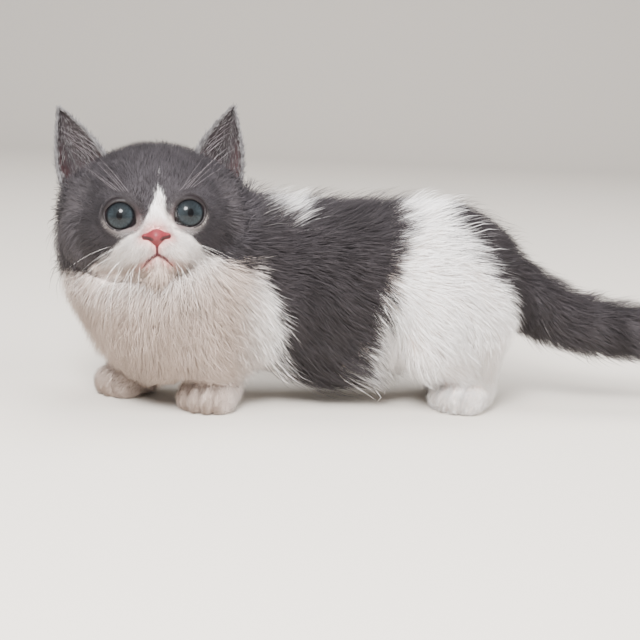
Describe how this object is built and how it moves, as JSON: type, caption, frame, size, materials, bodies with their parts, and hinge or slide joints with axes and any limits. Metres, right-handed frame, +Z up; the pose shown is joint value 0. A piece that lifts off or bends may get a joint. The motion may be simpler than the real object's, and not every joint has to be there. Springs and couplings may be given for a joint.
{
  "type": "munchkin cat",
  "caption": "Life-size standing munchkin kitten in blue-grey and white, short legs, fluffy coat, head turned to the viewer, tail straight out behind.",
  "frame": {"origin": "on the floor, in the middle of the model's length and width", "axes": "+Z up, the head towards -X and the tail towards +X, the cat's left flank towards -Y, where the picture was taken from"},
  "size_m": [0.3058, 0.1076, 0.1323],
  "materials": {
    "coat_grey_white": "short blue-grey fur with a white blaze, muzzle and chin",
    "coat_white": "soft white fur",
    "coat_grey": "soft blue-grey fur",
    "coat_white_grey": "soft white fur that turns grey along the croup",
    "ear": "thin pink skin under short grey fur, long pale hairs inside",
    "eye": "wet, clear cornea over a blue-grey iris",
    "nose_leather": "moist pink nose leather"
  },
  "bodies": {
    "root": {"head": "coat_grey_white", "neck": "coat_white", "chest": "coat_white", "torso": "coat_grey", "hindquarters": "coat_white_grey", "tail_root": "coat_grey", "tail_middle": "coat_grey", "tail_tip": "coat_grey", "nose": "nose_leather", "ear_left": "ear", "ear_right": "ear", "eye_left": "eye", "eye_right": "eye", "paw_front_left": "coat_white", "leg_front_left": "coat_white", "paw_front_right": "coat_white", "leg_front_right": "coat_white", "paw_hind_left": "coat_white", "leg_hind_left": "coat_white", "paw_hind_right": "coat_white", "leg_hind_right": "coat_white"}
  },
  "joints": []
}
